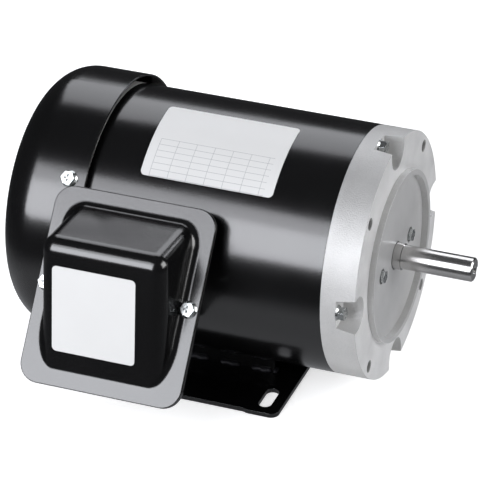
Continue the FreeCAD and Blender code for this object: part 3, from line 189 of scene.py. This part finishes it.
COAT_ROUGHNESS = 0.03
NOISE_ROUGHNESS = 0.5
BEVEL_SAMPLES = 4


class Finish:
    """A material under construction: each method adds nodes and gives back an output socket."""

    def __init__(self, name, roughness, metallic=0.0, ior=1.5, coat=0.0):
        self.material = bpy.data.materials.new(name)
        self.material.use_nodes = True
        self.tree = self.material.node_tree
        self.shader = self.tree.nodes["Principled BSDF"]
        self.set_input("Roughness", roughness)
        self.set_input("Metallic", metallic)
        self.set_input("IOR", ior)
        self.set_input("Coat Weight", coat)
        self.set_input("Coat Roughness", COAT_ROUGHNESS)
        self.place = self.tree.nodes.new("ShaderNodeTexCoord").outputs["Object"]

    def set_input(self, name, value):
        """Sets one of the shader's own sockets, or links it."""
        if isinstance(value, bpy.types.NodeSocket):
            self.tree.links.new(value, self.shader.inputs[name])
        elif isinstance(value, tuple):
            self.shader.inputs[name].default_value = (*value, 1)
        else:
            self.shader.inputs[name].default_value = value

    def feed(self, socket, value):
        """Links a socket, or sets it to a number or a vector."""
        if isinstance(value, bpy.types.NodeSocket):
            self.tree.links.new(value, socket)
        else:
            socket.default_value = value

    def noise(self, scale, detail=2.0, where=None):
        """Cloudy noise from 0 to 1; its scale is in cells per metre."""
        node = self.tree.nodes.new("ShaderNodeTexNoise")
        node.inputs["Scale"].default_value = scale
        node.inputs["Detail"].default_value = detail
        node.inputs["Roughness"].default_value = NOISE_ROUGHNESS
        self.feed(node.inputs["Vector"], where or self.place)
        return node.outputs["Fac"]

    def stretched(self, x, y, z):
        """The place scaled differently along each axis."""
        node = self.tree.nodes.new("ShaderNodeVectorMath")
        node.operation = "MULTIPLY"
        self.feed(node.inputs[0], self.place)
        node.inputs[1].default_value = (x, y, z)
        return node.outputs["Vector"]

    def axes(self):
        """The place's x, y and z."""
        node = self.tree.nodes.new("ShaderNodeSeparateXYZ")
        self.feed(node.inputs["Vector"], self.place)
        return node.outputs["X"], node.outputs["Y"], node.outputs["Z"]

    def joined(self, x, y, z):
        """A vector from three values."""
        node = self.tree.nodes.new("ShaderNodeCombineXYZ")
        for name, value in (("X", x), ("Y", y), ("Z", z)):
            self.feed(node.inputs[name], value)
        return node.outputs["Vector"]

    def math(self, operation, a, b=0.0):
        """One arithmetic step."""
        node = self.tree.nodes.new("ShaderNodeMath")
        node.operation = operation
        self.feed(node.inputs[0], a)
        self.feed(node.inputs[1], b)
        return node.outputs["Value"]

    def spread(self, value, low, high, start=0.0, end=1.0):
        """Maps a value that runs from start to end onto low to high."""
        node = self.tree.nodes.new("ShaderNodeMapRange")
        self.feed(node.inputs["Value"], value)
        for name, number in (("From Min", start), ("From Max", end), ("To Min", low),
                             ("To Max", high)):
            self.feed(node.inputs[name], number)
        return node.outputs["Result"]

    def blend(self, share, first, second):
        """Mixes two colours."""
        node = self.tree.nodes.new("ShaderNodeMix")
        node.data_type = "RGBA"
        colours = [socket for socket in node.inputs if socket.type == "RGBA"]
        self.feed(node.inputs[0], share)
        for socket, colour in zip(colours, (first, second)):
            self.feed(socket, (*colour, 1) if isinstance(colour, tuple) else colour)
        return next(socket for socket in node.outputs if socket.type == "RGBA")

    def radius(self):
        """Distance from the shaft axis."""
        _, y, z = self.axes()
        return self.math("SQRT", self.math("ADD", self.math("MULTIPLY", y, y),
                                           self.math("MULTIPLY", z, z)))

    def facing(self, axis):
        """How far the surface faces an axis of the motor: 1 along it, -1 against it."""
        node = self.tree.nodes.new("ShaderNodeSeparateXYZ")
        self.feed(node.inputs["Vector"],
                  self.tree.nodes.new("ShaderNodeTexCoord").outputs["Normal"])
        return node.outputs[axis]

    def bump(self, height, distance, under=None, rounded=0.0):
        """Adds relief of a given depth in metres; rounded softens sharp edges first."""
        node = self.tree.nodes.new("ShaderNodeBump")
        node.inputs["Strength"].default_value = 1.0
        node.inputs["Distance"].default_value = distance
        self.feed(node.inputs["Height"], height)
        if rounded:
            bevel = self.tree.nodes.new("ShaderNodeBevel")
            bevel.samples = BEVEL_SAMPLES
            bevel.inputs["Radius"].default_value = rounded
            under = bevel.outputs["Normal"]
        if under is not None:
            self.feed(node.inputs["Normal"], under)
        self.feed(self.shader.inputs["Normal"], node.outputs["Normal"])
        return node.outputs["Normal"]


# ---------------------------------------------------------------- materials

# Edge of the recess in the end shield's face; inside it the colour is painted darker than the rim,
# as painted shade in the recess.
DISH_RADIUS = 0.0568


def black_paint(name, base=0.0022, gloss=0.185, peel=0.00002, sag=0.00012, rounded=0.0005):
    """Baked semi-gloss enamel: orange peel on top of slightly wavy sheet."""
    finish = Finish(name, gloss, ior=1.7)
    cloud = finish.noise(16, 4)
    finish.set_input("Base Color", finish.blend(cloud, (base * 0.7, base * 0.7, base * 0.75),
                                                (base * 1.4, base * 1.4, base * 1.5)))
    finish.set_input("Roughness", finish.spread(finish.noise(38, 5), gloss - 0.03, gloss + 0.04))
    waves = finish.bump(finish.noise(26, 1), sag, rounded=rounded)
    finish.bump(finish.noise(650, 2), peel, under=waves)
    return finish.material


def cast_aluminium():
    """Die-cast end shield: sand-like rim, faces turned bright with fine rings."""
    finish = Finish("cast_aluminium", 0.5, metallic=0.55)
    turned = finish.spread(finish.facing("X"), 0, 1, 0.9, 0.97)
    radius = finish.radius()
    rings = finish.noise(1, 3, finish.joined(finish.math("MULTIPLY", radius, 950.0), 0.0, 0.0))
    stain = finish.noise(45, 5)
    grain = finish.noise(1300, 3)
    cast = finish.blend(finish.spread(stain, 0, 1, 0.25, 0.75), (0.47, 0.468, 0.462),
                        (0.58, 0.578, 0.572))
    cast = finish.blend(finish.spread(grain, 0, 0.35, 0.35, 0.7), cast, (0.68, 0.678, 0.672))
    smooth = finish.blend(rings, (0.86, 0.86, 0.865), (0.96, 0.96, 0.965))
    smooth = finish.blend(finish.spread(stain, 0, 0.55, 0.35, 0.75), smooth, (0.62, 0.62, 0.625))
    # Painted shade: the recessed dish inside DISH_RADIUS is blended towards dark grey to look
    # shaded.
    dish_shade = finish.math("LESS_THAN", radius, DISH_RADIUS)
    smooth = finish.blend(finish.math("MULTIPLY", dish_shade, 0.6), smooth, (0.42, 0.42, 0.425))
    finish.set_input("Base Color", finish.blend(turned, cast, smooth))
    rough_cast = finish.spread(grain, 0.46, 0.62)
    rough_turned = finish.spread(rings, 0.26, 0.42)
    finish.set_input("Roughness", finish.spread(turned, rough_cast, rough_turned))
    relief = finish.spread(turned, grain, finish.math("MULTIPLY", rings, 0.12))
    finish.bump(relief, 0.00022, rounded=0.0006)
    return finish.material


def ground_steel(name="ground_steel", colour=(0.62, 0.61, 0.60), roughness=0.2, lines=2600):
    """Steel ground round its axis: fine rings along X."""
    finish = Finish(name, roughness, metallic=1.0)
    x, _, _ = finish.axes()
    rings = finish.noise(1, 3, finish.joined(finish.math("MULTIPLY", x, lines), 0.0, 0.0))
    cloud = finish.noise(60, 3)
    dark = tuple(c * 0.86 for c in colour)
    finish.set_input("Base Color", finish.blend(cloud, dark, colour))
    finish.set_input("Roughness", finish.spread(rings, roughness - 0.07, roughness + 0.1))
    finish.bump(rings, 0.000012)
    return finish.material


def bright_metal(name, colour, roughness, grain=900, depth=0.00002, cloudiness=0.12):
    """Plated or pressed metal with a faint cloudy bloom."""
    finish = Finish(name, roughness, metallic=1.0)
    cloud = finish.noise(120, 4)
    low = tuple(c * (1 - cloudiness) for c in colour)
    high = tuple(min(1.0, c * (1 + cloudiness)) for c in colour)
    finish.set_input("Base Color", finish.blend(cloud, low, high))
    finish.set_input("Roughness", finish.spread(finish.noise(400, 3), roughness - 0.06,
                                                roughness + 0.08))
    finish.bump(finish.noise(grain, 2), depth, rounded=0.0002)
    return finish.material


def laminations():
    """Stacked sheet steel: thin plates across the shaft axis."""
    finish = Finish("lamination_steel", 0.5, metallic=0.9)
    x, _, _ = finish.axes()
    plates = finish.math("FRACT", finish.math("MULTIPLY", x, 2000.0))
    finish.set_input("Base Color", finish.blend(plates, (0.16, 0.16, 0.17), (0.34, 0.34, 0.35)))
    finish.bump(plates, 0.00008)
    return finish.material


def windings():
    """Enamelled copper wire, wound in strands and varnished."""
    finish = Finish("copper_windings", 0.32, metallic=0.55, coat=0.4)
    strands = finish.noise(1, 2, finish.stretched(160, 1500, 1500))
    finish.set_input("Base Color", finish.blend(strands, (0.20, 0.055, 0.018), (0.52, 0.20, 0.07)))
    finish.bump(strands, 0.0004)
    return finish.material


def moulded(name, colour, roughness, grain=900, depth=0.00005):
    """Moulded plastic or rubber with a fine skin texture."""
    finish = Finish(name, roughness, ior=1.47)
    cloud = finish.noise(30, 4)
    finish.set_input("Base Color", finish.blend(cloud, tuple(c * 0.8 for c in colour),
                                                tuple(c * 1.25 for c in colour)))
    finish.set_input("Roughness", finish.spread(cloud, roughness - 0.06, roughness + 0.06))
    finish.bump(finish.noise(grain, 3), depth, rounded=0.0003)
    return finish.material


def label_face(name, ruled, tone=0.76):
    """Blank satin sticker; ruled gives the centre and size of a faint printed grid."""
    finish = Finish(name, 0.34, ior=1.45)
    paper = finish.blend(finish.noise(30, 3), (tone * 0.95, tone * 0.95, tone * 0.94),
                         (tone, tone, tone * 0.99))
    if ruled:
        x, y, z = finish.axes()
        angle = finish.math("ARCTAN2", finish.math("MULTIPLY", y, -1.0), z)
        height = finish.math("MULTIPLY", angle, ruled["radius"])
        lines = None
        for value, start, pitch in ((height, ruled["top"], ruled["row"]),
                                    (x, ruled["left"], ruled["column"])):
            offset = finish.math("SUBTRACT", value, start)
            step = finish.math("FRACT", finish.math("DIVIDE", offset, pitch))
            thin = finish.math("LESS_THAN", step, ruled["line"] / pitch)
            lines = thin if lines is None else finish.math("MAXIMUM", lines, thin)
        for value, start, end in ((height, ruled["top"], ruled["bottom"]),
                                  (x, ruled["left"], ruled["right"])):
            inside = finish.math("MULTIPLY", finish.math("GREATER_THAN", value, start),
                                 finish.math("LESS_THAN", value, end + ruled["line"]))
            lines = finish.math("MULTIPLY", lines, inside)
        paper = finish.blend(finish.math("MULTIPLY", lines, 0.6), paper, (0.22, 0.23, 0.25))
    finish.set_input("Base Color", paper)
    finish.set_input("Roughness", finish.spread(finish.noise(90, 3), 0.30, 0.40))
    finish.bump(finish.noise(220, 2), 0.00002)
    return finish.material


# ---------------------------------------------------------------- which node gets which finish

def finish_nodes():
    """Gives every CAD node its material, by its slot unless it needs its own."""
    plate_low, plate_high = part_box("nameplate")
    shell_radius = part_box("motor_shell")[1].y
    ruled = dict(radius=shell_radius, top=0.033, bottom=0.0645, row=0.0045,
                 left=plate_low.x + 0.006, right=plate_high.x - 0.0065, column=0.0123,
                 line=0.0003)
    by_slot = {
        "black_paint": black_paint("black_paint"),
        "cast_aluminium": cast_aluminium(),
        "ground_steel": ground_steel(),
        "bearing_steel": ground_steel("bearing_steel", (0.72, 0.72, 0.73), 0.12, 1500),
        "pressed_steel": bright_metal("pressed_steel", (0.50, 0.50, 0.51), 0.34),
        "zinc_plate": bright_metal("zinc_plate", (0.56, 0.58, 0.58), 0.26, cloudiness=0.2),
        "lamination_steel": laminations(),
        "copper_windings": windings(),
        "fan_plastic": moulded("fan_plastic", (0.016, 0.016, 0.017), 0.45),
        "board_plastic": moulded("board_plastic", (0.11, 0.035, 0.018), 0.4),
        "black_rubber": moulded("black_rubber", (0.013, 0.013, 0.013), 0.62, 600, 0.0001),
        "brass_terminals": bright_metal("brass_terminals", (0.72, 0.50, 0.19), 0.28),
        "white_label": label_face("white_label", None, 0.57),
    }
    by_node = {"nameplate": label_face("ruled_label", ruled)}
    for entry in frame["record"]["subparts"]:
        mesh = NODES[entry["node"]].data
        mesh.materials.clear()
        mesh.materials.append(by_node.get(entry["node"], by_slot[entry["material_slot"]]))


# ---------------------------------------------------------------- weld beads under the shell

BEAD_SIDES = 12
BEAD_STEP = 0.0006
BEAD_LEAST_STEPS = 12
RIPPLE_PITCH = 0.0016
RIPPLE_DEPTH = 0.16
WANDER = Vector((0, 0.18, 0.12))
WANDER_RATE = 900

STITCH_LENGTH = 0.014
STITCH_RADIUS = 0.0016
STITCH_PLACES = (0.0, 0.5, 1.0)
END_MARGIN = 0.002
STAND_OFF = 0.0004
FOOT_LIFT = 0.0006
FRONT_RADIUS = 0.0015
FRONT_HALF = 0.003


def weld_bead(name, start, end, radius, paint):
    """A rippled bead of weld between two points, tapered at its ends."""
    start, end = Vector(start), Vector(end)
    along = (end - start).normalized()
    side = along.orthogonal().normalized()
    up = along.cross(side)
    length = (end - start).length
    steps = max(BEAD_LEAST_STEPS, int(length / BEAD_STEP))
    shape = bmesh.new()
    rings = []
    for step in range(steps + 1):
        share = step / steps
        taper = math.sqrt(max(0.0, 1 - abs(2 * share - 1) ** 6)) + 0.05
        ripple = 1 + RIPPLE_DEPTH * math.sin(share * length / RIPPLE_PITCH * 2 * math.pi)
        wander = WANDER * radius * math.sin(share * length * WANDER_RATE)
        centre = start.lerp(end, share) + wander
        size = radius * taper * ripple
        ring = []
        for corner in range(BEAD_SIDES):
            turn = corner / BEAD_SIDES * 2 * math.pi
            outwards = side * math.cos(turn) + up * math.sin(turn)
            ring.append(shape.verts.new(centre + outwards * size))
        rings.append(ring)
    for first, second in zip(rings, rings[1:]):
        for corner in range(BEAD_SIDES):
            after = (corner + 1) % BEAD_SIDES
            shape.faces.new((first[corner], first[after], second[after], second[corner]))
    shape.faces.new(list(reversed(rings[0])))
    shape.faces.new(rings[-1])
    mesh = bpy.data.meshes.new(name)
    shape.to_mesh(mesh)
    shape.free()
    for face in mesh.polygons:
        face.use_smooth = True
    mesh.materials.append(paint)
    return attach(add_object(name, mesh), "housing")


def add_welds(paint):
    """Stitches along each rail, at the base plate and under the shell, and one at its front."""
    shell_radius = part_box("motor_shell")[1].y
    for rail in ("left_base_rail", "right_base_rail"):
        low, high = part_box(rail)
        for side, y in (("near", low.y - STAND_OFF), ("far", high.y + STAND_OFF)):
            under_shell = -math.sqrt(shell_radius ** 2 - y ** 2) - STAND_OFF
            for part, shift in enumerate(STITCH_PLACES):
                spare = high.x - low.x - STITCH_LENGTH - 2 * END_MARGIN
                front = high.x - END_MARGIN - shift * spare
                for place, z in (("foot", low.z + FOOT_LIFT), ("top", under_shell)):
                    weld_bead(f"weld_{rail}_{side}_{place}_{part}", (front, y, z),
                              (front - STITCH_LENGTH, y, z), STITCH_RADIUS, paint)
        middle = (low.y + high.y) / 2
        x, z = high.x + STAND_OFF, low.z + FOOT_LIFT
        weld_bead(f"weld_{rail}_front", (x, middle - FRONT_HALF, z), (x, middle + FRONT_HALF, z),
                  FRONT_RADIUS, paint)


make_camera()
make_studio()
finish_nodes()
add_welds(bpy.data.materials["black_paint"])
